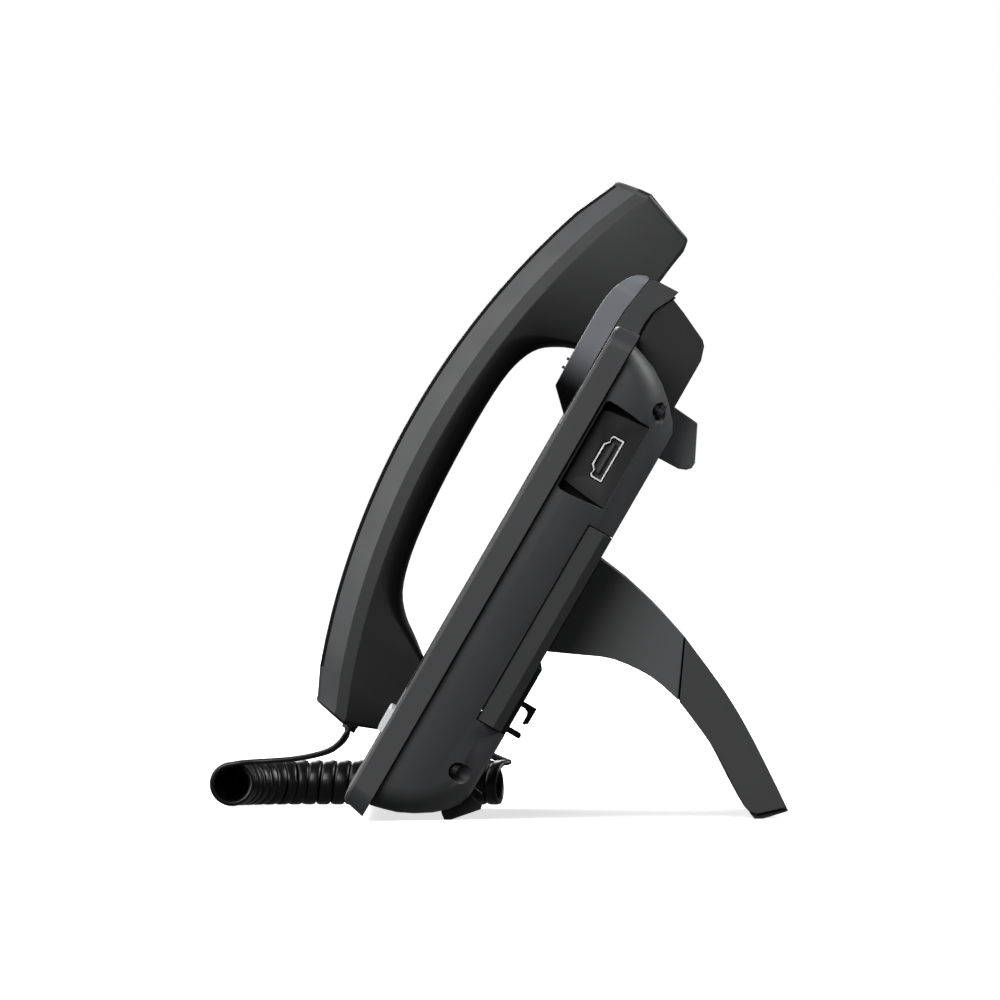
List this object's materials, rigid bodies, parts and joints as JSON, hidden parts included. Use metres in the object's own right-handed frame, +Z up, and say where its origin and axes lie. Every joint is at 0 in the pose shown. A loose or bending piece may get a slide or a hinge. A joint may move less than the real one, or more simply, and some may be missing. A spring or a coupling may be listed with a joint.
{
  "type": "desk video telephone",
  "caption": "Desk video telephone with a corded handset in a cradle, a tilting camera in a raised hood, front keys and a plug-in stand.",
  "frame": {"origin": "middle of the box on the table, cord left out", "axes": "+X to the user's right, +Y away from the user, +Z up"},
  "size_m": [0.2957, 0.1894, 0.2081],
  "materials": {
    "shell": "fine moulded texture, satin",
    "hood": "polished",
    "screen_glass": "polished",
    "metal": "bright plated",
    "board": "solder mask",
    "black_plastic": "satin",
    "key": "silver paint",
    "rubber": "matt",
    "cord": "satin"
  },
  "bodies": {
    "phone": {"front_shell": "shell", "rear_housing": "shell", "rear_cover": "shell", "camera_hood": "hood", "display_glass": "screen_glass", "display_panel": "metal", "main_board": "board", "key_board": "board", "loudspeaker": "black_plastic", "desk_microphone": "metal", "network_socket_1": "metal", "network_socket_2": "metal", "power_socket": "black_plastic", "video_socket": "metal", "video_tongue": "black_plastic", "housing_screw_1": "metal", "housing_screw_2": "metal", "housing_screw_3": "metal", "housing_screw_4": "metal", "foot_left": "rubber", "foot_right": "rubber", "camera_bracket": "metal", "cord_socket": "black_plastic", "base_plug": "black_plastic", "cord_coil": "cord", "cord_lead_base": "cord", "cord_lead_handset": "cord"},
    "handset": {"handset_back_shell": "shell", "handset_face_shell": "shell", "receiver": "black_plastic", "handset_microphone": "metal", "handset_weight": "metal", "handset_jack": "black_plastic", "handset_plug": "black_plastic"},
    "hook": {"hook_plunger": "black_plastic"},
    "camera": {"camera_barrel": "black_plastic", "lens_ring": "metal", "camera_lens": "screen_glass", "tilt_lever": "shell"},
    "shutter": {"privacy_shutter": "black_plastic"},
    "left_key": {"key_left": "key"},
    "middle_key": {"key_middle": "key"},
    "right_key": {"key_right": "key"},
    "stand": {"stand_arm": "shell", "stand_leg": "shell", "stand_pad": "rubber"}
  },
  "joints": [
    {"name": "handset_lift", "type": "slide", "parent": "phone", "child": "handset", "axis": [0, -0.866, 0.5], "range_m": [0, 0.04]},
    {"name": "hook_rise", "type": "slide", "parent": "phone", "child": "hook", "axis": [0, -0.866, 0.5], "range_m": [0, 0.003]},
    {"name": "camera_tilt", "type": "hinge", "parent": "phone", "child": "camera", "pos_m": [0.03, 0.02371, 0.15429], "axis": [1, 0, 0], "range_deg": [-8, 8]},
    {"name": "shutter_slide", "type": "slide", "parent": "phone", "child": "shutter", "axis": [-1, 0, 0], "range_m": [0, 0.018]},
    {"name": "left_key_press", "type": "slide", "parent": "phone", "child": "left_key", "axis": [0, 0.866, -0.5], "range_m": [0, 0.001], "stiffness_N_per_m": 1500},
    {"name": "middle_key_press", "type": "slide", "parent": "phone", "child": "middle_key", "axis": [0, 0.866, -0.5], "range_m": [0, 0.001], "stiffness_N_per_m": 1500},
    {"name": "right_key_press", "type": "slide", "parent": "phone", "child": "right_key", "axis": [0, 0.866, -0.5], "range_m": [0, 0.001], "stiffness_N_per_m": 1500},
    {"name": "stand_slide", "type": "slide", "parent": "phone", "child": "stand", "axis": [0, -0.5, -0.866], "range_m": [0, 0.005]}
  ],
  "couplings": [
    {"joint": "hook_rise", "follows": "handset_lift", "ratio": 0.075}
  ]
}
